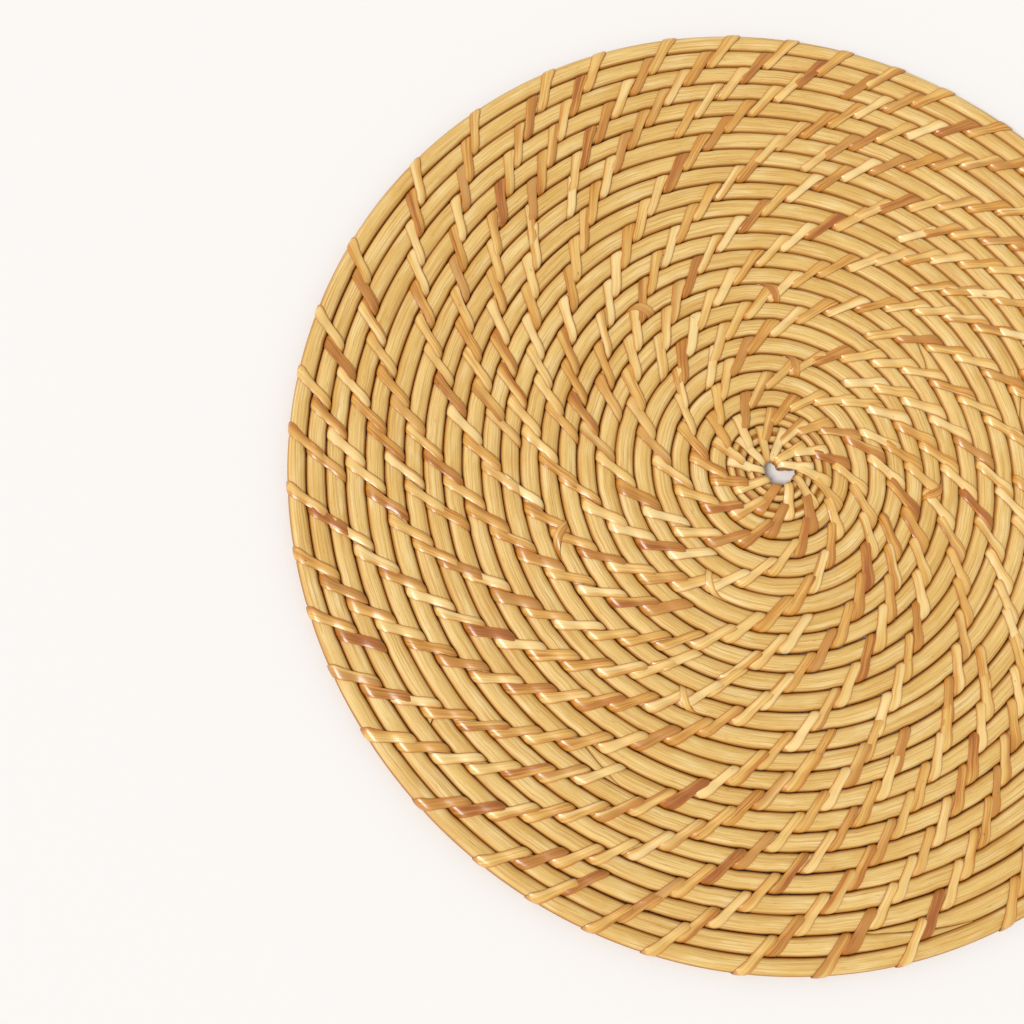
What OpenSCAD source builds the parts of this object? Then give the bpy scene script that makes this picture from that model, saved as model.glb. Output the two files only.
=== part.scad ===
// Round coiled rattan seat pad: a spiral of rattan core, lashed turn to turn with strips of rattan peel.
// Millimetres, +Z up. The pad lies flat on z = 0, and the origin is under the middle of it.
// Angles along the spiral count on from turn to turn, anticlockwise from above, so 720 is the end of turn 2.

/* [Pad] */
// Diameter of the pad across the lashed rim
pad_d = 380; // [300:10:420]
// Radius of the hole that the centre stitches pass through
hole_r = 3.2; // [3:0.1:4]

/* [Core] */
// Width of the flat-oval core, along the radius
core_w = 6.45; // [6:0.05:7]
// Height of the core
core_h = 5.6; // [5:0.1:5.8]
// Slit between neighbouring turns, which the peel passes through
slit = 0.9; // [0.8:0.05:1.2]
// Angle between a joint's slanting cut and the run of the core
scarf_angle = 20; // [18:1:30]
// Depth of the square step at each end of a joint's slanting cut
nib = 1.0; // [0.6:0.1:1.2]
// Length over which the core is pared down at its rim end
pared_l = 60; // [40:5:80]
// Width that is left at the pared tip
pared_tip = 1.2; // [0.8:0.1:2]

/* [Peel] */
// Width of a strip of peel, along the run of the core
peel_w = 4.4; // [3.5:0.1:5]
// Thickness of a strip of peel
peel_t = 0.8; // [0.5:0.05:0.8]
// Number of strips that the lashing is made of
strip_count = 22; // [18:1:26]

/* [Stitches] */
// Slant of a stitch's top run from the radius, at the centre
slant_centre = 10; // [6:1:16]
// Slant of a stitch's top run from the radius, away from the centre
slant = 38; // [32:1:40]
// Distance along the core from a stitch to the one beside it in the next row
beside = 5.2; // [4.8:0.1:5.6]
// Unevenness of the hand lashing, as a share of the stitch spacing
unevenness = 0.08; // [0:0.01:0.12]

/* [Hidden] */
// Where the core's lengths begin and end, as angles along the spiral of a pad of the default size
joint_angles = [0, 3636, 5058, 6357, 7776, 8564, 9000];
core_count = len(joint_angles) - 1;
turn = 360;
half = 180;
pitch = core_w + slit;
// Centreline radius of the spiral's first half turn
first_r = hole_r + core_w / 2;
// Half turns that bring the rim nearest to the wanted diameter
half_turns = round((pad_d / 2 - peel_t - core_w / 2 - first_r) / (pitch / 2)) + 1;
last_angle = half * half_turns;
// The joints move with the spiral's end when the pad's diameter changes
joint_scale = last_angle / joint_angles[core_count];
pad_h = core_h + 2 * peel_t;
core_z = pad_h / 2;
$fn = 120;

function core_name(i) = str("core_length_", i);
function strip_name(i) = str("peel_strip_", i < 10 ? "0" : "", i);
function fraction(x) = x - floor(x);

// The spiral is made of half circles. Their centres take turns on either side of the origin, a quarter of the
// pitch away, and each radius is half a pitch more than the last, so the arcs meet with no kink. The spiral as a
// whole is moved by as much, which puts the origin under the middle of the rim.
function arc_of(angle) = min(floor(angle / half), half_turns - 1);
function arc_centre(k) = [(k % 2 == 0 ? -1 : 1) * pitch / 4, pitch / 4];
function arc_r(k) = first_r + k * pitch / 2;
// Point at an angle along the spiral, off the core's centreline by off (outwards), at height z
function spiral_point(angle, off, z) =
    let (k = arc_of(angle), r = arc_r(k) + off)
    [arc_centre(k).x + r * cos(angle), arc_centre(k).y + r * sin(angle), z];
// Angle that a length along the core takes up
function degrees_for(length, angle, off = 0) = length / (arc_r(arc_of(angle)) + off) * half / PI;

// Lashing. A stitch starts in the slit outside one turn of the core, crosses that turn and the one inside it,
// and goes down through the next slit. It comes back underneath to where the next stitch starts.
// The slant grows from turn to turn until it reaches its full size.
slant_gain = 7.5;
function slant_at(angle) = min(slant, slant_centre + slant_gain * (angle / turn - 1));
// Angle along the spiral that a stitch's top run moves on by
function top_advance(angle) = degrees_for(2 * pitch * tan(slant_at(angle)), angle, -pitch / 2);
// Wanted stitch spacing: away from the centre, the number of stitches in a turn grows with the radius
fewest_in_turn = 10;
always_in_turn = 3.5;
more_per_mm = 0.19;
function spacing(angle) =
    turn / max(fewest_in_turn, always_in_turn + more_per_mm * arc_r(arc_of(angle)));
// The same as a length along the core, at a distance off from its centreline
function spacing_l(angle, off = 0) = spacing(angle) / half * PI * (arc_r(arc_of(angle)) + off);
// Runs of peel that lie beside one another in one stitch spacing: three on top and one underneath
abreast = 4;
// A stitch lies beside its guide in the row inside it, a little uneven. Where that leaves too wide a space, an
// extra stitch goes in the middle of it, and where it leaves too little, the stitch is moved along. The limits
// are shares of the wanted spacing. The upper one varies from stitch to stitch, so that the extra stitches are
// spread round the turn.
widest = 1.45;
widest_varies = 0.5;
tightest = 0.75;
// Multiples of these, whole part left off, are spread evenly and follow no pattern
golden = 0.618034;
plastic = 0.754878;
function row_shift(angle) =
    degrees_for(pitch * tan(slant_at(angle)) + min(beside, spacing_l(angle) / abreast), angle);
function beside_guide(guide, angle, n) =
    guide + turn - row_shift(angle) + unevenness * spacing(angle) * (fraction(n * golden) - 0.5);
// The first row has no guide. Its stitches are evenly spaced, and the second row starts beside its first.
first_step = (turn - row_shift(2 * turn)) / fewest_in_turn;
function lay(done, guide) =
    let (
        n = len(done),
        last = done[n - 1],
        s = spacing(last),
        first_row = n < fewest_in_turn,
        next = first_row ? last + first_step : beside_guide(done[guide + 1], last, n),
        limit = widest * (1 + widest_varies * (fraction(n * plastic) - 0.5)),
        extra = !first_row && next - last > limit * s,
        angle = extra ? (last + next) / 2 : max(next, last + tightest * s)
    )
    angle > last_angle ? done
        : lay(concat(done, [angle]), first_row || extra ? guide : guide + 1);
stitches = lay([turn], -1);

// A strip's section is a shallow triangle, flat side out, which has the area of the real lens-shaped peel.
// Near the centre the strips narrow so that they all fit, and in the hole only one row of them goes down.
room_used = 0.84;
function strip_half_w(angle, off) =
    let (in_hole = off < 0 && angle < 2 * turn)
    min(peel_w, room_used * spacing_l(angle, off) / (in_hole ? 1 : abreast)) / 2;
// One ring of the strip, at a corner of its way round the core. out and up say which way the corner points.
function corner(angle, off, out, up) =
    let (
        z = core_z + up * pad_h / 2,
        side = strip_half_w(angle, off),
        turn_by = degrees_for(side, angle, off)
    )
    [
        spiral_point(angle - turn_by, off + out * peel_t / 2, z),
        spiral_point(angle + turn_by, off + out * peel_t / 2, z),
        spiral_point(angle, off - out * peel_t / 2, z - up * peel_t)
    ];
// A stitch hugs the core's pared end where that has grown narrower.
function outer_off(angle) =
    pitch / 2 - (core_w - pared_tip) * max(0, 1 - (last_angle - angle) / pared_reach());
inner_off = -1.5 * pitch;
function stitch_rings(angle) = [
    corner(angle, outer_off(angle), 1, -1),
    corner(angle, outer_off(angle), 1, 1),
    corner(angle + top_advance(angle), inner_off, -1, 1),
    corner(angle + top_advance(angle), inner_off, -1, -1)
];

module ribbon(rings) {
    sides = len(rings[0]);
    last = len(rings) - 1;
    points = [for (ring = rings) for (p = ring) p];
    walls = [
        for (i = [0:last - 1]) for (j = [0:sides - 1])
            let (a = i * sides + j, b = i * sides + (j + 1) % sides)
            for (face = [[b, a, b + sides], [b + sides, a, a + sides]]) face
    ];
    near_end = [for (j = [0:sides - 1]) j];
    far_end = [for (j = [sides - 1:-1:0]) last * sides + j];
    polyhedron(points, concat([near_end], walls, [far_end]));
}

// The strips start short, since near the centre a longer one would run into its own earlier rows
strip_growth = 1.5;
function strip_start(i) = floor(len(stitches) * pow((i - 1) / strip_count, strip_growth));

module peel_strip(i) {
    from = strip_start(i);
    to = strip_start(i + 1) - 1;
    color(i % 3 == 0 ? "#c98f45" : i % 3 == 1 ? "#dcae64" : "#e6c98c")
        ribbon([for (n = [from:to]) each stitch_rings(stitches[n])]);
}

// Section of the core: a flat oval
module core_section() {
    square([core_w - core_h, core_h], center = true);
    for (side = [-1, 1])
        translate([side * (core_w - core_h) / 2, 0])
            circle(d = core_h);
}

// The stretch of core between two angles of the spiral that lie in one half turn
module core_arc(k, from, to) {
    translate([arc_centre(k).x, arc_centre(k).y, core_z])
        rotate_extrude(angle = to - from, start = from % turn)
            translate([arc_r(k), 0])
                core_section();
}

module core_run(from, to) {
    for (k = [floor(from / half):ceil(to / half) - 1])
        core_arc(k, max(from, half * k), min(to, half * (k + 1)));
}

// Half the length and half the width of a joint's slanting cut
scarf_half_w = core_w / 2 - nib;
scarf_half_l = scarf_half_w / tan(scarf_angle);
// Angles, in whole degrees, that a joint takes up on each side of its middle, and that the pared end takes up
function scarf_reach(angle) = ceil(degrees_for(scarf_half_l + core_w, angle));
function pared_reach() = ceil(degrees_for(pared_l, last_angle));

// The room past a joint. Its near side slants across the core from the inside to the outside, with a square
// step at each end, so that neither length of core ends in a feather edge.
module past_joint(angle) {
    far = 8 * core_w;
    translate(spiral_point(angle, 0, core_z - far / 2))
        rotate(angle + 90)
            linear_extrude(far)
                polygon([
                    [-scarf_half_l, far], [-scarf_half_l, scarf_half_w],
                    [scarf_half_l, -scarf_half_w], [scarf_half_l, -far],
                    [far, -far], [far, far]
                ]);
}

// The end of the length of core before a joint, and the start of the length after it
module end_before(angle) {
    difference() {
        core_run(angle - scarf_reach(angle), angle + scarf_reach(angle));
        past_joint(angle);
    }
}
module start_after(angle) {
    intersection() {
        core_run(angle - scarf_reach(angle), angle + scarf_reach(angle));
        past_joint(angle);
    }
}

// The rim end of the core, pared away on its outer side to a narrow tip
module pared_end() {
    from = last_angle - pared_reach();
    start = spiral_point(from, core_w / 2, core_z);
    tip = spiral_point(last_angle, pared_tip - core_w / 2, core_z);
    along = tip - start;
    size = 2 * pared_l;
    difference() {
        core_run(from, last_angle);
        translate((start + tip) / 2)
            rotate(atan2(along.y, along.x) - 90)
                translate([0, -size / 2, -size / 2])
                    cube(size);
    }
}

module core_length(i) {
    from = round(joint_angles[i - 1] * joint_scale);
    to = round(joint_angles[i] * joint_scale);
    is_first = i == 1;
    is_last = i == core_count;
    color(i % 2 == 0 ? "#e3c98d" : "#ead39c")
        union() {
            core_run(from + (is_first ? 0 : scarf_reach(from)), to - (is_last ? pared_reach() : scarf_reach(to)));
            if (!is_first) start_after(from);
            if (!is_last) end_before(to);
            if (is_last) pared_end();
        }
}

core_length(1);  // core_length_1
core_length(2);  // core_length_2
core_length(3);  // core_length_3
core_length(4);  // core_length_4
core_length(5);  // core_length_5
core_length(6);  // core_length_6
for (i = [1:strip_count])
    peel_strip(i);
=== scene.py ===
"""Looks of the round coiled rattan seat pad: core and peel lashing in detail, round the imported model.

Lengths are in millimetres until a mesh is made. Angles along the spiral are in degrees and count on from
turn to turn, anticlockwise from above, as in the CAD model.
"""

import math

import bpy
import numpy as np
from mathutils import Matrix, Vector


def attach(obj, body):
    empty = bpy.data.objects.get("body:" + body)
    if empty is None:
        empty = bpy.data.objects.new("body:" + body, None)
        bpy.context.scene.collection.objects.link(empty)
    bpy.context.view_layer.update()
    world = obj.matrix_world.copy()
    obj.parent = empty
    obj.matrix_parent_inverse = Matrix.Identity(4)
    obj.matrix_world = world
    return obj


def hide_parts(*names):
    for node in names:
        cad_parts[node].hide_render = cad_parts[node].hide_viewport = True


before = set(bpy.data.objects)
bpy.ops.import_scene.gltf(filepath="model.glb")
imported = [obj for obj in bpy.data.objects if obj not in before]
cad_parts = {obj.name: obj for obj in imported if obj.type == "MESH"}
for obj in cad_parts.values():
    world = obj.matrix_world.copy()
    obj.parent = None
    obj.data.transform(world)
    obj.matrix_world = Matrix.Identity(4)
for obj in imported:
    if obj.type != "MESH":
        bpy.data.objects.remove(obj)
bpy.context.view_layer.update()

# ---------------------------------------------------------------- Sizes, the same as the CAD model's
MM = 0.001
TURN, HALF = 360.0, 180.0
CORE_W, CORE_H, SLIT = 6.45, 5.6, 0.9
HOLE_R, PAD_D = 3.2, 380.0
PEEL_T = 0.8
# A stitch's slant from the radius, in degrees: on the first turn, at most, and its growth per turn
SLANT_CENTRE, SLANT, SLANT_GAIN = 10.0, 38.0, 7.5
# How far along the core a stitch lies beside its guide in the row inside, and how unevenly. It is less
# where this many stitches would not fit abreast in the spacing.
BESIDE, UNEVENNESS = 5.2, 0.08
ABREAST = 4
# Stitches in a turn: the fewest, and otherwise a fixed number and some more for each millimetre of radius
FEWEST_IN_TURN, ALWAYS_IN_TURN, MORE_PER_MM = 10.0, 3.5, 0.19
# Gaps as shares of the usual spacing: a wider one gets an extra stitch, and none is tighter
WIDEST, WIDEST_VARIES, TIGHTEST = 1.45, 0.5, 0.75
# Steps of two sequences that spread evenly between 0 and 1
GOLDEN, PLASTIC = 0.618034, 0.754878
# The outer strips have more stitches than the inner ones
STRIP_COUNT, STRIP_GROWTH = 22, 1.5
# Length and narrowest width of the core's pared end on the rim
PARED_L, PARED_TIP = 60.0, 1.2
# Angles along the spiral of the core's start, the joints between its lengths, and its end
JOINTS = [0, 3636, 5058, 6357, 7776, 8564, 9000]
PITCH = CORE_W + SLIT
FIRST_R = HOLE_R + CORE_W / 2
HALF_TURNS = int(round((PAD_D / 2 - PEEL_T - CORE_W / 2 - FIRST_R) / (PITCH / 2))) + 1
LAST_ANGLE = HALF * HALF_TURNS
PAD_H = CORE_H + 2 * PEEL_T
CORE_Z = PAD_H / 2

# ---------------------------------------------------------------- The spiral and the stitches


def arc_of(angle):
    return np.clip(np.floor(np.asarray(angle, float) / HALF), 0, HALF_TURNS - 1)


def arc_centre(k):
    return np.where(k % 2 == 0, -1.0, 1.0) * PITCH / 4, PITCH / 4


def arc_r(k):
    return FIRST_R + k * PITCH / 2


def spiral_point(angle, off):
    """Plan position at an angle along the spiral, off the core's centreline by off, outwards."""
    k = arc_of(angle)
    cx, cy = arc_centre(k)
    r = arc_r(k) + off
    a = np.radians(angle)
    return np.stack([cx + r * np.cos(a), cy + r * np.sin(a)], axis=-1)


def degrees_for(length, angle, off=0.0):
    return length / (arc_r(arc_of(angle)) + off) * HALF / math.pi


def slant_at(angle):
    return min(SLANT, SLANT_CENTRE + SLANT_GAIN * (angle / TURN - 1))


def top_advance(angle):
    return degrees_for(2 * PITCH * math.tan(math.radians(slant_at(angle))), angle, -PITCH / 2)


def spacing(angle):
    return TURN / max(FEWEST_IN_TURN, ALWAYS_IN_TURN + MORE_PER_MM * float(arc_r(arc_of(angle))))


def row_shift(angle):
    """How far short of a whole turn past its guide a stitch is."""
    spacing_l = math.radians(spacing(angle)) * float(arc_r(arc_of(angle)))
    to_guide = PITCH * math.tan(math.radians(slant_at(angle))) + min(BESIDE, spacing_l / ABREAST)
    return float(degrees_for(to_guide, angle))


def lay_stitches():
    """Angles of all stitches, by the CAD model's rule."""
    done, guide = [TURN], -1
    first_step = (TURN - row_shift(2 * TURN)) / FEWEST_IN_TURN
    while True:
        n, last = len(done), done[-1]
        s = spacing(last)
        first_row = n < FEWEST_IN_TURN
        if first_row:
            angle, extra = last + first_step, False
        else:
            uneven = UNEVENNESS * s * ((n * GOLDEN) % 1 - 0.5)
            beside = done[guide + 1] + TURN - row_shift(last) + uneven
            limit = WIDEST * (1 + WIDEST_VARIES * ((n * PLASTIC) % 1 - 0.5))
            extra = beside - last > limit * s
            angle = (last + beside) / 2 if extra else max(beside, last + TIGHTEST * s)
        if angle > LAST_ANGLE:
            return np.array(done)
        done.append(float(angle))
        if not (first_row or extra):
            guide += 1


STITCHES = lay_stitches()
ADVANCES = np.array([top_advance(a) for a in STITCHES])


def locate(points, near):
    """Angle along the spiral and offset from the core's centreline of plan points close to an angle."""
    k = arc_of(near)
    angle = off = None
    for step in (0, 1):
        cx, cy = arc_centre(k + step)
        d = points - np.array([float(cx), cy])
        a = np.degrees(np.arctan2(d[:, 1], d[:, 0]))
        a = near + (a - near + HALF) % TURN - HALF
        o = np.hypot(d[:, 0], d[:, 1]) - arc_r(k + step)
        if angle is None:
            angle, off = a, o
        else:
            past = (angle >= HALF * (k + 1)) & (k + 1 < HALF_TURNS)
            angle, off = np.where(past, a, angle), np.where(past, o, off)
    return angle, off


def wander(n_knots, positions, seed, spread=1.0):
    """Smooth noise: random heights at whole numbers, with a cubic blend between them."""
    knots = np.random.default_rng(seed).normal(0, spread, n_knots + 2)
    p = np.clip(positions, 0, n_knots)
    i = np.floor(p).astype(int)
    t = p - i
    t = t * t * (3 - 2 * t)
    return knots[i] * (1 - t) + knots[i + 1] * t


# ---------------------------------------------------------------- Meshes
# Edges that bend more than this many degrees are shaded sharp
SHARP_FROM = 42.0


def strand_faces(count, sides, base):
    """Faces of a strand of closed rings, with a cap at each end. base is the number of its first point."""
    i = np.arange(count - 1)[:, None]
    j = np.arange(sides)[None, :]
    a, b = i * sides + j, i * sides + (j + 1) % sides
    quads = np.stack([a, b, b + sides, a + sides], axis=-1).reshape(-1, 4) + base
    first = list(range(base + sides - 1, base - 1, -1))
    last = [base + (count - 1) * sides + k for k in range(sides)]
    return quads.tolist() + [first, last]


def strand_grain(u, v, sides):
    """The grain map at every corner of those faces."""
    u0, u1 = u[:-1, :-1], u[:-1, 1:]
    u2, u3 = u[1:, 1:], u[1:, :-1]
    v0, v1 = v[:-1, None] + 0 * u0, v[1:, None] + 0 * u0
    corners = np.stack([u0, v0, u1, v0, u2, v1, u3, v1], axis=-1).reshape(-1, 2)
    caps = [np.full((sides, 2), [u[0, 0], end]) for end in (v[0], v[-1])]
    return np.concatenate([corners, *caps])


def make_piece(name, strands, material, nodes):
    """One object from strands. A strand is rings of points, their u and v, and their tone and shade."""
    points, faces, grain, values = [], [], [], []
    base = 0
    for rings, u, v, extra in strands:
        count, sides = rings.shape[:2]
        points.append(rings.reshape(-1, 3))
        faces.extend(strand_faces(count, sides, base))
        grain.append(strand_grain(u, v, sides))
        values.append(extra.reshape(-1, 2))
        base += count * sides
    mesh = bpy.data.meshes.new(name)
    mesh.from_pydata((np.concatenate(points) * MM).tolist(), [], faces)
    layer = mesh.uv_layers.new(name="grain")
    layer.data.foreach_set("uv", np.concatenate(grain).astype(np.float32).ravel())
    values = np.concatenate(values).astype(np.float32)
    for k, attribute in enumerate(("tone", "shade")):
        mesh.attributes.new(attribute, "FLOAT", "POINT").data.foreach_set("value", values[:, k].copy())
    mesh.polygons.foreach_set("use_smooth", np.ones(len(mesh.polygons), bool))
    mesh.materials.append(material)
    mesh.update()
    mesh.set_sharp_from_angle(angle=math.radians(SHARP_FROM))
    piece = bpy.data.objects.new(name, mesh)
    bpy.context.scene.collection.objects.link(piece)
    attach(piece, "root")
    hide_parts(*nodes)
    return piece


# ---------------------------------------------------------------- Core
RING_STEP, CORE_SIDES = 1.2, 24
# Half widths of the core on the side of a slit, of the rim and of the hole, and the degrees one takes to
# change into the next
SLIT_HALF_W, RIM_HALF_W, HOLE_HALF_W = 3.64, 3.3, 3.2
RIM_CHANGE, HOLE_CHANGE = 20.0, 60.0
# How deep and how far along the core's edge gives way to a strip, and how many strips each way count
PINCH_DEPTH, PINCH_REACH, PINCH_COUNT = 0.3, 2.4, 3
PINCH_LEAST_R = HOLE_R + 1
# The section is a superellipse: 2 makes an ellipse, and more a squarer shape
ROUNDNESS = 2.7
# The innermost turns are made of core that was split down its middle to take the bend
SPLIT_TURNS, SPLIT_CHANGE = 2.4, 90.0
# SPLIT_SHADE is painted shade down in the split
SPLIT_DEPTH, SPLIT_W, SPLIT_SHADE = 0.45, 0.2, 0.8
# Half lengths of the slanting cuts at the joints, and the shares of the width left at a cut's tip and at
# the core's pared end
CUT_HALF_L = {3636: 8.0, 5058: 9.0, 6357: 11.0, 7776: 1.6, 8564: 22.0}
CUT_TIP, PARED_SHARE = 0.04, 0.2
# A core narrower than this half width gets thinner too, down to the root of this share
THIN_FROM, THINNEST = 1.6, 0.15
# Slow changes along the core, each as the length of a wave, its spread and its random seed
WIDTH_WAVE, PLACE_WAVE = (45, 0.012, 40), (70, 0.06, 60)
HEIGHT_WAVE, TONE_WAVE = (30, 0.01, 80), (55, 0.5, 100)
# The most of its usual width that a core may have, and its usual loss of height
WIDEST_SHARE, HEIGHT_LOSS = 1.02, 0.01
# The grain map round the core's section: half width and closing step. Each length's grain starts apart.
GRAIN_HALF_W, GRAIN_CLOSE, CORE_GRAIN_APART = 3.2, 0.9, 3000.0

# Places in the slits that strips pass through, as angles along the turn of core on the slit's inner side
PASSES = np.sort(np.concatenate([STITCHES, STITCHES + ADVANCES - 2 * TURN]))


def pinch(angles):
    """How far the core's edge gives way to strips beside it: 0 is not at all, 1 is right at one."""
    free = np.ones(len(angles))
    nearest = np.searchsorted(PASSES, angles)
    slit_r = np.maximum(arc_r(arc_of(np.maximum(angles, 0))) + PITCH / 2, PINCH_LEAST_R)
    r = np.where(angles < 0, PINCH_LEAST_R, slit_r)
    for step in range(-PINCH_COUNT, PINCH_COUNT):
        at = PASSES[np.clip(nearest + step, 0, len(PASSES) - 1)]
        d = np.radians(at - angles) * r
        free *= 1 - np.exp(-((d / PINCH_REACH) ** 2))
    return 1 - free


def waves(along, wave, index):
    """Smooth random change along a length of core."""
    length, spread, seed = wave
    return wander(int(along[-1] / length) + 2, along / length, seed + index, spread)


def ring_angles(start, stop):
    """Angles of a core length's rings."""
    angles = [start]
    while angles[-1] < stop:
        angles.append(min(angles[-1] + float(degrees_for(RING_STEP, angles[-1])), stop))
    return np.array(angles)


def core_edges(angles, size):
    """Offsets of the core's inner and outer edge from the spiral."""
    outer = SLIT_HALF_W - PINCH_DEPTH * pinch(angles)
    inner = SLIT_HALF_W - PINCH_DEPTH * pinch(angles - TURN)
    outer += np.clip((angles - (LAST_ANGLE - TURN)) / RIM_CHANGE, 0, 1) * (RIM_HALF_W - SLIT_HALF_W)
    inner += np.clip((TURN - angles) / HOLE_CHANGE, 0, 1) * (HOLE_HALF_W - SLIT_HALF_W)
    return -inner * size, outer * size


def narrowing(distance, length, tip):
    """Share of the width left at a distance from an end: tip at the end itself, all of it past length."""
    return tip + (1 - tip) * np.clip(distance / length, 0, 1)


def superellipse(turned):
    """Shares of the core's half width and half height at angles round its section."""
    power = 2 / ROUNDNESS
    return [np.sign(share) * np.abs(share) ** power for share in (np.cos(turned), np.sin(turned))]


ACROSS, UP = superellipse(np.linspace(0, 2 * math.pi, CORE_SIDES, endpoint=False))
GIRTH = np.cumsum([0, *np.hypot(np.diff(ACROSS * GRAIN_HALF_W), np.diff(UP * CORE_H / 2)), GRAIN_CLOSE])
# Painted shade: the core is darker down in the slits, where less light gets in
SIDE_SHADE_MOST, SIDE_SHADE_FALL = 1.15, 1.35
SIDE_SHADE = np.clip(SIDE_SHADE_MOST - SIDE_SHADE_FALL * np.abs(UP), 0, 1)


def core_piece(index):
    """A length of core, from its slanting cut at one joint to the cut at the next."""
    start, end = JOINTS[index - 1], JOINTS[index]
    lead_in, lead_out = CUT_HALF_L.get(start, 0.0), CUT_HALF_L.get(end, 0.0)
    first, last = start - float(degrees_for(lead_in, start)), end + float(degrees_for(lead_out, end))
    angles = ring_angles(first, last)
    r = arc_r(arc_of(angles))
    along = np.concatenate([[0], np.cumsum(np.radians(np.diff(angles)) * (r[1:] + r[:-1]) / 2)])
    to_end = along[-1] - along

    size = 1 + waves(along, WIDTH_WAVE, index)
    low, high = core_edges(angles, np.minimum(size, WIDEST_SHARE))
    # The length before a joint narrows to its outer edge, the one after it to its inner edge
    if lead_in:
        high = low + (high - low) * narrowing(along, 2 * lead_in, CUT_TIP)
    if lead_out:
        low = high + (low - high) * narrowing(to_end, 2 * lead_out, CUT_TIP)
    if end == LAST_ANGLE:
        high = low + (high - low) * narrowing(to_end, PARED_L, PARED_SHARE)
    half_w = (high - low) / 2
    thin = np.clip(half_w / THIN_FROM, THINNEST, 1) ** 0.5
    loss = HEIGHT_LOSS + waves(along, HEIGHT_WAVE, index)
    half_h = CORE_H / 2 * np.minimum(size, 1.0) * (1 - loss) * thin

    split = np.clip((SPLIT_TURNS * TURN - angles) / SPLIT_CHANGE, 0, 1)
    cleft = split[:, None] * np.exp(-((ACROSS / SPLIT_W) ** 2))
    middle = (low + high) / 2 + waves(along, PLACE_WAVE, index)
    plan = spiral_point(angles[:, None], middle[:, None] + half_w[:, None] * ACROSS)
    z = CORE_Z + half_h[:, None] * UP * (1 - SPLIT_DEPTH * cleft)
    rings = np.concatenate([plan, z[..., None]], axis=-1)

    u = np.repeat(GIRTH[None, :], len(angles), 0)
    tone = waves(along, TONE_WAVE, index)[:, None] + 0 * ACROSS
    # Painted shade down in the slits and in the split
    shade = np.maximum(SIDE_SHADE, SPLIT_SHADE * cleft * split[:, None])
    return rings, u, along + CORE_GRAIN_APART * index, np.stack([tone, shade], axis=-1)


# ---------------------------------------------------------------- Peel
VISUAL_PEEL_W, VISUAL_PEEL_T = 3.95, 0.74
# Half width of the core as a strip goes round it, and how far a strip sags between two cores
HUG, BRIDGE_SAG = 3.14, 0.55
# Points of a profile's round corners and of its sag, of its grid, and of the smoothing of its direction
CORNER_POINTS, SAG_POINTS, GRID_POINTS, SMOOTH_OVER = 33, 25, 400, 9


class Profile:
    """Way of the strip's underside over cores side by side: y runs inwards from the outer slit, z up."""

    def __init__(self, cores):
        first, last = PITCH / 2, PITCH * (cores - 0.5)
        across, up = superellipse(np.linspace(0, math.pi / 2, CORNER_POINTS))
        sideways, upwards = HUG * across, CORE_Z + CORE_H / 2 * up
        y, z = list(first - sideways), list(upwards)
        if cores == 2:
            t = np.linspace(0, 1, SAG_POINTS)[1:-1]
            y += list(first + PITCH * t)
            z += list(CORE_Z + CORE_H / 2 - BRIDGE_SAG * np.sin(math.pi * t) ** 2)
        y += list((last + sideways)[::-1])
        z += list(upwards[::-1])
        s = np.concatenate([[0], np.cumsum(np.hypot(np.diff(y), np.diff(z)))])
        self.length = s[-1]
        self.grid = np.linspace(0, self.length, GRID_POINTS)
        self.y_grid, self.z_grid = np.interp(self.grid, s, y), np.interp(self.grid, s, z)
        dy, dz = self.direction(self.y_grid), self.direction(self.z_grid)
        size = np.hypot(dy, dz)
        self.run_grid, self.rise_grid = dy / size, dz / size

    def direction(self, values):
        """Smoothed growth of values along the way."""
        growth = np.pad(np.gradient(values, self.grid), SMOOTH_OVER // 2, mode="edge")
        return np.convolve(growth, np.ones(SMOOTH_OVER) / SMOOTH_OVER, "valid")

    def y(self, s):
        return np.interp(s, self.grid, self.y_grid)

    def z(self, s):
        """Past an end, the way goes straight on down the slit."""
        past = np.minimum(s, 0) - np.maximum(s - self.length, 0)
        return np.interp(s, self.grid, self.z_grid) + past

    def run(self, s):
        return np.interp(s, self.grid, self.run_grid)

    def rise(self, s):
        return np.interp(s, self.grid, self.rise_grid)


OVER_TWO, OVER_ONE = Profile(2), Profile(1)
# The strip's section, skin then inner face: places across it from -1 to 1, and heights above its underside
# as shares of its thickness. SECTION_SHADE: the orange next to the skin's edges is partly the peel's own
# colour, and the dark on its cut sides and inner face is painted shade.
SKIN_V = np.array([-1.0, -0.95, -0.75, -0.38, 0.0, 0.38, 0.75, 0.95, 1.0])
INNER_V = np.array([0.9, 0.0, -0.9])
SECTION_V = np.concatenate([SKIN_V, INNER_V])
SECTION_H = np.array([0.45, 0.74, 0.9, 0.98, 1.0, 0.98, 0.9, 0.74, 0.45, 0.0, 0.06, 0.0])
SECTION_SHADE = np.array([0.95, 0.5, 0.16, 0.02, 0.0, 0.02, 0.16, 0.5, 0.95, 0.95, 0.5, 0.95])
# Places round the section in the grain map, with one more that closes it. Each strip's grain starts apart.
SECTION_U = np.concatenate([SKIN_V, 2 - INNER_V, [3.2]]) * 2.0
STRIP_GRAIN_APART, CROOK_GRAIN_APART = 2100.0, 900.0
# Least radius that a strip's width is turned into an angle at
LEAST_R = 1.5


def pulled_in(angle):
    """How far the core's pared end lets a stitch in, at the stitch's outer slit."""
    reach = float(degrees_for(PARED_L, LAST_ANGLE))
    return (CORE_W - PARED_TIP) * max(0.0, 1 - (LAST_ANGLE - angle) / reach)


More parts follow.
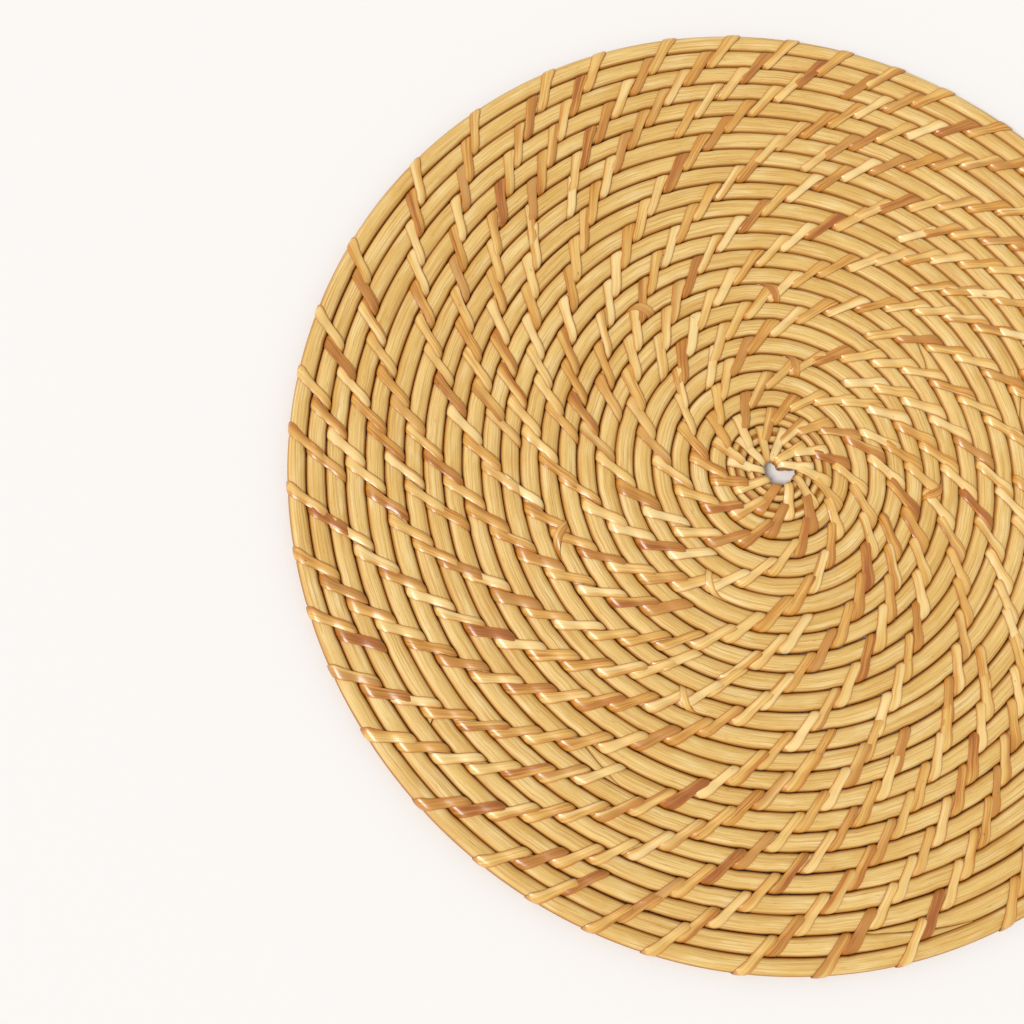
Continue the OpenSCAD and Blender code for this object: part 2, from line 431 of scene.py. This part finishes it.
def ribbon_rings(profile, s, angle, width, thick, tilt=0.0, lift=0.0, below=False, pull=0.0):
    """Rings of a strip along a profile. angle is the strip's place along the core at each s."""
    y0 = profile.y(s)
    r_here = arc_r(arc_of(angle)) + PITCH / 2 - y0
    x = np.concatenate([[0], np.cumsum(np.radians(np.diff(angle)) * (r_here[1:] + r_here[:-1]) / 2)])
    slope = np.gradient(x, s)
    norm = np.sqrt(1 + slope**2)
    v = SECTION_V[None, :] * np.broadcast_to(width, s.shape)[:, None] / 2
    s_at = s[:, None] - v * (slope / norm)[:, None]
    h = SECTION_H[None, :] * thick + np.broadcast_to(lift, s.shape)[:, None]
    run = profile.run(s_at)
    y = profile.y(s_at)
    y = y + pull * np.clip(1 - (y - y0[0]) / (2 * HUG), 0, 1) - profile.rise(s_at) * h
    z = profile.z(s_at) + run * h + tilt * SECTION_V * np.clip(run, 0, 1)
    turn_by = np.degrees(v / norm[:, None] / np.maximum(r_here[:, None], LEAST_R))
    plan = spiral_point(angle[:, None] + turn_by, PITCH / 2 - y)
    if below:
        z = PAD_H - z
    return np.concatenate([plan, z[..., None]], axis=-1)


# Share of its width that a strip keeps where it stands upright in a slit, and how soon it has all of it
SLIT_SHARE, FULL_FROM_RUN = 0.84, 1.5
# Share of its width that a top run has, at shares of its length from the outer slit to the inner one
TAPER_AT, TAPER = [0.0, 0.15, 0.4, 1.0], [1.2, 1.14, 1.0, 0.8]


def width_along(profile, s, full):
    """A strip narrows a little where it turns down into a slit."""
    run = np.clip(profile.run(s), 0, 1)
    return full * (SLIT_SHARE + (1 - SLIT_SHARE) * np.minimum(run * FULL_FROM_RUN, 1))


# Length of the shoulders of a profile, where a strip bends down into a slit
SHOULDER_L = 4.6


def samples(profile, shoulder_count, middle_count):
    """Places along a profile: close together over the shoulders, further apart on the flat."""
    shoulder = np.linspace(0, SHOULDER_L, shoulder_count)
    middle = np.linspace(SHOULDER_L, profile.length - SHOULDER_L, middle_count)
    return np.concatenate([shoulder, middle[1:-1], (profile.length - shoulder)[::-1]])


TOP_S = samples(OVER_TWO, 8, 10)
UNDER_S = samples(OVER_TWO, 4, 3)
# The inner half of a top run may cross the earlier row's stitches, so it lies a little higher
OVER_LIFT_MOST, OVER_LIFT_FROM = 0.2, 0.7
OVER_LIFT = OVER_LIFT_MOST * np.clip(2 * TOP_S / OVER_TWO.length - OVER_LIFT_FROM, 0, 1)
# What differs from stitch to stitch and from strip to strip
STITCH_SEED = 11
rng = np.random.default_rng(STITCH_SEED)
STITCH_WIDTH = np.clip(1 + rng.normal(0, 0.05, len(STITCHES)), 0.86, 1.12)
STITCH_TONE = rng.normal(0, 1, len(STITCHES))
STITCH_TILT = rng.normal(0.03, 0.12, len(STITCHES))
STITCH_EDGE = rng.normal(0, 1, len(STITCHES))
STRIP_WIDTH = np.clip(1 + rng.normal(0, 0.06, STRIP_COUNT + 1), 0.9, 1.1)
STRIP_TONE = rng.normal(0, 1, STRIP_COUNT + 1)
# How much a stitch's tone owes to its strip and to itself
STRIP_TONE_SHARE, STITCH_TONE_SHARE = 0.6, 0.9

# How much of a top run's way is an S bend: at the centre, and past this radius
BEND_CENTRE, BEND, BEND_FROM_R = 0.05, 0.14, 70.0
# How far a top run's outer and inner end turn along their slits, and the length that dies away over
FLARE_OUT, FLARE_IN, FLARE_L = 0.9, 0.7, 1.6
STRAIGHT_POINTS = 40


def s_bend(t, share):
    """0 to 1 as t goes from 0 to 1, steeper at both ends than in the middle."""
    return (1 - share) * t + share * (4 * (t - 0.5) ** 3 + 0.5)


def stitch_angles(start, stop, y):
    """Places along the core of a top run: a straight line in plan, bent along the slits at its ends."""
    off_out, off_in = PITCH / 2 - y[0], PITCH / 2 - y[-1]
    ends = spiral_point(np.array([start, stop]), np.array([off_out, off_in]))
    t = np.linspace(0, 1, STRAIGHT_POINTS)[:, None]
    angle, off = locate(ends[0] * (1 - t) + ends[1] * t, start)
    angle += stop - angle[-1]
    straight = np.interp(-(PITCH / 2 - y), -off, angle)
    t = (y - y[0]) / (y[-1] - y[0])
    outwards = min(1.0, float(arc_r(arc_of(start))) / BEND_FROM_R)
    share = BEND_CENTRE + (BEND - BEND_CENTRE) * outwards
    flare = FLARE_IN * np.exp((y - y[-1]) / FLARE_L) - FLARE_OUT * np.exp((y[0] - y) / FLARE_L)
    bend = (s_bend(t, share) - t) * (stop - start)
    return straight + bend + degrees_for(flare * outwards, angle[0])


def room_for(angle, y):
    """Length along the core from one stitch to the next in its row, where a strip crosses."""
    r = arc_r(arc_of(angle)) + PITCH / 2 - y
    return math.radians(spacing(float(angle[0]))) * np.maximum(r, LEAST_R)


def grain_of(rings, tone, edge, dark, start):
    """The grain map, tone and shade of a strip's rings. edge makes one edge darker than the other."""
    centre = rings.mean(axis=1)
    along = np.concatenate([[0], np.cumsum(np.linalg.norm(np.diff(centre, axis=0), axis=1))])
    u = np.repeat(SECTION_U[None, :], len(rings), 0)
    tones = tone[:, None] + edge[:, None] * SECTION_V[None, :]
    # Painted shade: the larger of the shade at a slit and the section's own
    shades = np.maximum(dark[:, None], SECTION_SHADE[None, :])
    return rings, u, along + start, np.stack([tones, shades], axis=-1)


# Most widths of a top run and of a run underneath, as shares of the room from stitch to stitch
TOP_OF_ROOM, UNDER_OF_ROOM = 1.3, 0.98
# Extra tilt of the very first stitches, which lie one on another like a fan
FAN_TILT = 0.22
# How soon a top run has lost its painted shade as it comes up out of a slit
SHADE_GONE_FROM_RUN = 1.6


def stitch_width(n, index, s):
    return width_along(OVER_TWO, s, VISUAL_PEEL_W * STITCH_WIDTH[n] * STRIP_WIDTH[index])


def top_run(n, index):
    """Rings of a stitch over two turns of core."""
    theta = STITCHES[n]
    y = OVER_TWO.y(TOP_S)
    angle = stitch_angles(theta, theta + ADVANCES[n], y)
    taper = np.interp(TOP_S / OVER_TWO.length, TAPER_AT, TAPER)
    width = np.minimum(stitch_width(n, index, TOP_S) * taper, TOP_OF_ROOM * room_for(angle, y))
    tilt = STITCH_TILT[n] + FAN_TILT * max(0.0, 1 - (theta - TURN) / TURN)
    pull = pulled_in(theta)
    return ribbon_rings(OVER_TWO, TOP_S, angle, width, VISUAL_PEEL_T, tilt, OVER_LIFT, pull=pull)


def under_run(n, index):
    """Rings of the way back underneath from a stitch's inner end to the next stitch's outer end."""
    y = OVER_TWO.y(UNDER_S)
    angle = np.interp(y, [y[0], y[-1]], [STITCHES[n + 1], STITCHES[n] + ADVANCES[n]])
    width = np.minimum(stitch_width(n, index, UNDER_S), UNDER_OF_ROOM * room_for(angle, y))
    pull = pulled_in(STITCHES[n + 1])
    rings = ribbon_rings(OVER_TWO, UNDER_S, angle, width, VISUAL_PEEL_T, below=True, pull=pull)
    return rings[::-1][1:-1]


def lashing(first, last, index):
    """The strip as it goes round and round: over two turns of core, down, and back underneath."""
    blocks, tones, edges, slit_shades = [], [], [], []
    for n in range(first, last + 1):
        runs = [(top_run(n, index), 1 - np.clip(OVER_TWO.run(TOP_S) * SHADE_GONE_FROM_RUN, 0, 1))]
        if n < last:
            runs.append((under_run(n, index), np.zeros(len(UNDER_S) - 2)))
        for rings, dark in runs:
            tone = STRIP_TONE_SHARE * STRIP_TONE[index] + STITCH_TONE_SHARE * STITCH_TONE[n]
            blocks.append(rings)
            tones.append(np.full(len(rings), tone))
            edges.append(np.full(len(rings), STITCH_EDGE[n]))
            slit_shades.append(dark)
    join = np.concatenate
    return grain_of(join(blocks), join(tones), join(edges), join(slit_shades), STRIP_GRAIN_APART * index)


# The tucked ends of strips that end past this radius show
CROOK_FROM_R = 40.0
CROOK_SEED = 500
CROOK_W, CROOK_T, CROOK_LIFT, CROOK_POINTS = 3.4, 0.5, 0.62, 26
# Random ranges: how far short of the last stitch its root is, how far its point reaches, and its width
CROOK_ROOT, CROOK_REACH, CROOK_WIDTHS = (0.5, 4.0), (6.0, 14.0), (0.8, 1.1)
CROOK_TONE, CROOK_TONE_SPREAD, CROOK_EDGE, CROOK_SHADE = 0.6, 0.8, 0.8, 0.4
# Where its point lies on the way over one core
CROOK_LOW_S = 1.0
# Share of its width that its point has, and the radians of its bend over which it widens and lifts
CROOK_POINT, CROOK_WIDENS, CROOK_LIFTS = 0.3, 0.9, 0.3


def tail_crook(n, index):
    """The strip's last end: up out of a slit, bent over one core, its point tucked into the next slit."""
    draw = np.random.default_rng(CROOK_SEED + index)
    theta = STITCHES[n]
    root = theta - float(degrees_for(draw.uniform(*CROOK_ROOT), theta))
    reach = draw.uniform(*CROOK_REACH)
    phi = np.linspace(math.pi / 2, 0, CROOK_POINTS)
    turned = math.pi / 2 - phi
    s = OVER_ONE.length - (OVER_ONE.length - CROOK_LOW_S) * np.sin(phi)
    angle = root + np.degrees(reach * (1 - np.cos(phi)) / float(arc_r(arc_of(theta))))
    width = CROOK_W * narrowing(turned, CROOK_WIDENS, CROOK_POINT) * draw.uniform(*CROOK_WIDTHS)
    lift = CROOK_LIFT * np.sqrt(np.maximum(np.sin(phi * 2), 0)) * np.clip(turned / CROOK_LIFTS, 0, 1)
    rings = ribbon_rings(OVER_ONE, s, angle, width, CROOK_T, lift=lift)
    flat = np.ones(len(s))
    tone = (STRIP_TONE[index] + draw.normal(CROOK_TONE, CROOK_TONE_SPREAD)) * flat
    # Painted shade where the crook goes down into the slit
    dark = CROOK_SHADE * (1 - np.clip(OVER_ONE.run(s), 0, 1))
    return grain_of(rings, tone, CROOK_EDGE * flat, dark, CROOK_GRAIN_APART * index)


def strip_start(index):
    """The first stitch that a strip makes, by the CAD model's rule."""
    return math.floor(len(STITCHES) * ((index - 1) / STRIP_COUNT) ** STRIP_GROWTH)


def strip_strands(index):
    first, last = strip_start(index), strip_start(index + 1) - 1
    strands = [lashing(first, last, index)]
    if float(arc_r(arc_of(STITCHES[last]))) > CROOK_FROM_R and index < STRIP_COUNT:
        strands.append(tail_crook(last, index))
    return strands


# ---------------------------------------------------------------- Materials


def srgb(r, g, b):
    """A colour given by its 0 to 255 display values, as linear RGBA."""
    shares = [c / 255 for c in (r, g, b)]
    return (*[c / 12.92 if c <= 0.04045 else ((c + 0.055) / 1.055) ** 2.4 for c in shares], 1.0)


class Nodes:
    """A material's node tree, with short calls to add and join nodes."""

    def __init__(self, name):
        self.material = bpy.data.materials.new(name)
        self.material.use_nodes = True
        self.tree = self.material.node_tree
        self.tree.nodes.clear()
        self.shader = self.add("ShaderNodeBsdfPrincipled")
        output = self.add("ShaderNodeOutputMaterial")
        self.tree.links.new(self.shader.outputs["BSDF"], output.inputs["Surface"])

    def add(self, kind, **settings):
        node = self.tree.nodes.new(kind)
        for key, value in settings.items():
            setattr(node, key, value)
        return node

    def put(self, value, socket):
        if isinstance(value, bpy.types.NodeSocket):
            self.tree.links.new(value, socket)
        else:
            socket.default_value = value

    def math(self, operation, a, b=0.0, clamp=False):
        node = self.add("ShaderNodeMath", operation=operation, use_clamp=clamp)
        self.put(a, node.inputs[0])
        self.put(b, node.inputs[1])
        return node.outputs[0]

    def mix(self, share, a, b, blend="MIX"):
        node = self.add("ShaderNodeMix", data_type="RGBA", blend_type=blend)
        self.put(share, node.inputs["Factor"])
        self.put(a, node.inputs["A"])
        self.put(b, node.inputs["B"])
        return node.outputs["Result"]

    def attribute(self, name):
        return self.add("ShaderNodeAttribute", attribute_name=name).outputs["Fac"]

    def stretched(self, u, v, w=0.0):
        """Noise coordinates: u and v from the grain map times these. w picks one of many such patterns."""
        uv = self.add("ShaderNodeUVMap", uv_map="grain").outputs[0]
        node = self.add("ShaderNodeVectorMath", operation="MULTIPLY")
        self.put(uv, node.inputs[0])
        node.inputs[1].default_value = (u, v, 1.0)
        shift = self.add("ShaderNodeVectorMath", operation="ADD")
        self.put(node.outputs[0], shift.inputs[0])
        shift.inputs[1].default_value = (0.0, 0.0, w)
        return shift.outputs[0]

    def noise(self, vector, detail=2.0, roughness=0.5):
        node = self.add("ShaderNodeTexNoise", noise_dimensions="3D")
        self.put(vector, node.inputs["Vector"])
        node.inputs["Scale"].default_value = 1.0
        node.inputs["Detail"].default_value = detail
        node.inputs["Roughness"].default_value = roughness
        return node.outputs["Fac"]

    def ramp(self, value, low, high):
        """0 at low, 1 at high, smooth between and level past them."""
        node = self.add("ShaderNodeMapRange", interpolation_type="SMOOTHSTEP")
        self.put(value, node.inputs["Value"])
        node.inputs["From Min"].default_value = low
        node.inputs["From Max"].default_value = high
        return node.outputs["Result"]

    def tint(self, colour, value, low, high, share, other):
        """A colour that turns into another as value goes from low to high, up to this share of it."""
        return self.mix(self.math("MULTIPLY", self.ramp(value, low, high), share), colour, other)

    def bump(self, height, distance, strength):
        """Distance is in metres."""
        node = self.add("ShaderNodeBump")
        node.inputs["Strength"].default_value = strength
        node.inputs["Distance"].default_value = distance
        self.put(height, node.inputs["Height"])
        self.tree.links.new(node.outputs["Normal"], self.shader.inputs["Normal"])


def core_material():
    """Matt reed: long fibres, fine scratches, short dark dashes and slow changes from straw to honey."""
    m = Nodes("core_reed")
    fibres = m.noise(m.stretched(1.6, 0.02), 3.0, 0.62)
    fine = m.noise(m.stretched(4.6, 0.05, 7.0), 3.0, 0.65)
    dashes = m.noise(m.stretched(3.4, 0.2, 13.0), 1.0, 0.5)
    slow = m.noise(m.stretched(0.12, 0.016, 21.0), 2.0, 0.5)
    patches = m.noise(m.stretched(0.25, 0.05, 31.0), 2.0, 0.5)
    colour = m.mix(m.ramp(slow, 0.32, 0.68), srgb(222, 187, 114), srgb(208, 168, 90))
    colour = m.tint(colour, patches, 0.45, 0.75, 0.8, srgb(230, 204, 142))
    colour = m.tint(colour, fibres, 0.44, 0.66, 0.7, srgb(190, 138, 62))
    colour = m.tint(colour, fine, 0.5, 0.74, 0.6, srgb(164, 110, 46))
    colour = m.tint(colour, fine, 0.48, 0.28, 0.55, srgb(240, 214, 162))
    colour = m.tint(colour, dashes, 0.67, 0.78, 0.6, srgb(118, 72, 32))
    # Painted shade: brown, then near black, where the shade attribute marks the slits and the split
    shade = m.attribute("shade")
    colour = m.tint(colour, shade, 0.0, 0.5, 0.85, srgb(166, 100, 26))
    colour = m.tint(colour, shade, 0.62, 1.0, 0.92, srgb(66, 34, 8))
    m.put(colour, m.shader.inputs["Base Color"])
    m.put(0.52, m.shader.inputs["Roughness"])
    m.put(1.45, m.shader.inputs["IOR"])
    m.bump(m.math("ADD", fibres, m.math("MULTIPLY", fine, 0.6)), 0.0003, 0.55)
    return m.material


def peel_material(name, pale, middle, dark, dark_share):
    """Glossy peel: streaks from pale to dark, small dark spots, and a kind of its own for every stitch."""
    m = Nodes(name)
    streaks = m.noise(m.stretched(1.5, 0.03), 3.0, 0.6)
    fine = m.noise(m.stretched(5.0, 0.05, 5.0), 2.0, 0.6)
    slow = m.noise(m.stretched(0.12, 0.02, 17.0), 2.0, 0.5)
    spots = m.noise(m.stretched(0.8, 0.3, 43.0), 2.0, 0.6)
    kind = m.attribute("tone")
    level = m.math("ADD", slow, m.math("MULTIPLY", kind, 0.07))
    level = m.math("ADD", level, m.math("MULTIPLY", m.math("SUBTRACT", streaks, 0.5), 0.95))
    colour = m.mix(m.ramp(level, 0.32, 0.64), pale, middle)
    colour = m.tint(colour, kind, 0.6, 1.7, 0.65, srgb(168, 106, 36))
    colour = m.tint(colour, kind, -0.8, -2.0, 0.7, srgb(234, 208, 146))
    colour = m.tint(colour, level, 0.56, 0.8, dark_share, dark)
    colour = m.tint(colour, fine, 0.52, 0.76, 0.4, dark)
    colour = m.tint(colour, spots, 0.7, 0.78, 0.75, srgb(88, 46, 16))
    # Painted shade: orange, then dark brown, at slit ends, on cut sides and on the inner face.
    # The orange next to the skin's edges is partly the peel's own colour of its cut edges.
    shade = m.attribute("shade")
    colour = m.tint(colour, shade, 0.02, 0.42, 0.7, srgb(190, 110, 18))
    colour = m.tint(colour, shade, 0.4, 1.0, 0.85, srgb(78, 40, 10))
    m.put(colour, m.shader.inputs["Base Color"])
    m.put(m.math("ADD", 0.22, m.math("MULTIPLY", fine, 0.22)), m.shader.inputs["Roughness"])
    m.put(0.6, m.shader.inputs["Specular IOR Level"])
    m.put(0.6, m.shader.inputs["Coat Weight"])
    m.put(0.24, m.shader.inputs["Coat Roughness"])
    m.put(1.5, m.shader.inputs["IOR"])
    m.bump(m.math("ADD", streaks, m.math("MULTIPLY", fine, 0.6)), 0.00018, 0.45)
    return m.material


def floor_material():
    m = Nodes("floor_white")
    speckle = m.add("ShaderNodeTexNoise").outputs["Fac"]
    m.put(m.mix(speckle, srgb(227, 225, 224), srgb(228, 226, 225)), m.shader.inputs["Base Color"])
    m.put(0.9, m.shader.inputs["Roughness"])
    return m.material


# Pale, middle and dark colour of the three sorts of peel, and the share of the dark one
PEEL_SORTS = {
    "peel_amber": (srgb(216, 172, 92), srgb(196, 136, 44), srgb(150, 76, 12), 0.85),
    "peel_golden": (srgb(224, 188, 112), srgb(208, 156, 68), srgb(172, 96, 18), 0.8),
    "peel_pale": (srgb(232, 200, 132), srgb(218, 174, 92), srgb(186, 118, 30), 0.7),
}
SLOTS = list(PEEL_SORTS)
core_look = core_material()
peel_looks = {slot: peel_material(f"{slot}_skin", *colours) for slot, colours in PEEL_SORTS.items()}

for i in range(1, len(JOINTS)):
    make_piece(f"core_length_{i}_reed", [core_piece(i)], core_look, [f"core_length_{i}"])
for i in range(1, STRIP_COUNT + 1):
    slot_name = SLOTS[i % len(SLOTS)]
    node_name = f"peel_strip_{i:02d}"
    make_piece(f"{node_name}_skin", strip_strands(i), peel_looks[slot_name], [node_name])

# ---------------------------------------------------------------- Floor and light, in metres
FLOOR_HALF_W = 30.0
WORLD_STRENGTH = 0.57
WORLD_COLOUR = (1.0, 0.99, 0.98, 1.0)

corners = [(x * FLOOR_HALF_W, y * FLOOR_HALF_W, 0) for x, y in ((-1, -1), (1, -1), (1, 1), (-1, 1))]
floor_mesh = bpy.data.meshes.new("floor")
floor_mesh.from_pydata(corners, [], [(0, 1, 2, 3)])
floor_mesh.materials.append(floor_material())
floor = bpy.data.objects.new("floor", floor_mesh)
bpy.context.scene.collection.objects.link(floor)


def direction_to(azimuth, height):
    """Direction of unit length, from its azimuth and its height over the floor in degrees."""
    around, rise = math.radians(azimuth), math.radians(height)
    return Vector((math.cos(rise) * math.cos(around), math.cos(rise) * math.sin(around), math.sin(rise)))


def sun(name, azimuth, height, size, strength, colour):
    """A far round light. azimuth and height say where it stands, and size is its width, all in degrees."""
    light = bpy.data.lights.new(name, "SUN")
    light.angle = math.radians(size)
    light.energy = strength
    light.color = colour
    lamp = bpy.data.objects.new(name, light)
    lamp.location = direction_to(azimuth, height)
    lamp.rotation_mode = "QUATERNION"
    lamp.rotation_quaternion = (-lamp.location).to_track_quat("-Z", "Y")
    bpy.context.scene.collection.objects.link(lamp)


sun("key", azimuth=210, height=55, size=24, strength=2.62, colour=(1.0, 0.985, 0.96))
world = bpy.data.worlds.new("studio")
world.use_nodes = True
tree = world.node_tree
lighting = tree.nodes["Background"]
lighting.inputs["Color"].default_value = WORLD_COLOUR
lighting.inputs["Strength"].default_value = WORLD_STRENGTH
# Past the floor's far edge the camera sees a backdrop of the floor's own brightness
backdrop = tree.nodes.new("ShaderNodeBackground")
backdrop.inputs["Color"].default_value = srgb(251, 247, 244)
chooser = tree.nodes.new("ShaderNodeMixShader")
tree.links.new(tree.nodes.new("ShaderNodeLightPath").outputs["Is Camera Ray"], chooser.inputs[0])
tree.links.new(lighting.outputs[0], chooser.inputs[1])
tree.links.new(backdrop.outputs[0], chooser.inputs[2])
tree.links.new(chooser.outputs[0], tree.nodes["World Output"].inputs["Surface"])
bpy.context.scene.world = world
bpy.context.scene.view_settings.view_transform = "Standard"

# ---------------------------------------------------------------- Camera
# Its distances are measured in the pad's radius, which is in metres
VIEW_R = 0.1886
LENS_MM, SENSOR_MM = 52.03, 36.0
# Where it stands, in degrees, the point it looks at and how far from there it is
VIEW_AZIMUTH, VIEW_HEIGHT = 244.8, 75.5
TARGET = Vector((-0.544, -0.091, 0)) * VIEW_R
AWAY = 3 * VIEW_R

camera_data = bpy.data.cameras.new("camera")
camera_data.lens = LENS_MM
camera_data.sensor_width = SENSOR_MM
camera = bpy.data.objects.new("camera", camera_data)
back = direction_to(VIEW_AZIMUTH, VIEW_HEIGHT)
# The pad's y axis points up the picture
right = Vector((0, 1, 0)).cross(back).normalized()
placed = Matrix((right, back.cross(right), back)).transposed().to_4x4()
placed.translation = TARGET + back * AWAY
camera.matrix_world = placed
bpy.context.scene.collection.objects.link(camera)
bpy.context.scene.camera = camera
